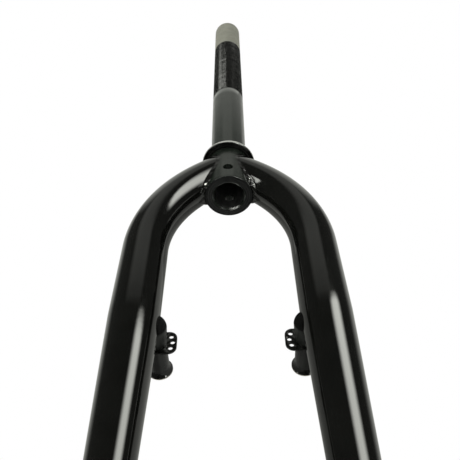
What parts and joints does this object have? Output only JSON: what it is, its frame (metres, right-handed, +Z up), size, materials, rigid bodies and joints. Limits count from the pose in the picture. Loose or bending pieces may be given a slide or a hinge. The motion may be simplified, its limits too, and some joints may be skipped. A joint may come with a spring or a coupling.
{
  "type": "bicycle fork",
  "caption": "Rigid unicrown bicycle fork in black steel with a threaded steerer, curved tapered blades, slotted fork ends and rim brake bosses.",
  "frame": {"origin": "on the steerer axis, in the flat of the crown race ring", "axes": "+Z up the steerer, +Y to the front of the bicycle, +X to the rider's right"},
  "size_m": [0.128, 0.0737, 0.6884],
  "materials": {
    "steerer": "thin half-gloss black paint, with bare grey steel over the top 54 mm",
    "bright_ring": "machined bright, painted black underneath",
    "paint": "gloss black enamel",
    "sleeve": "moulded black, half gloss"
  },
  "bodies": {
    "root": {"steerer_tube": "steerer", "crown_race_ring": "bright_ring", "left_blade": "paint", "right_blade": "paint", "left_crown_weld": "paint", "right_crown_weld": "paint", "left_fork_end": "paint", "right_fork_end": "paint", "left_pedestal": "paint", "right_pedestal": "paint", "left_spring_plate": "paint", "right_spring_plate": "paint", "left_brake_stud": "paint", "right_brake_stud": "paint", "left_stud_sleeve": "sleeve", "right_stud_sleeve": "sleeve"}
  },
  "joints": []
}
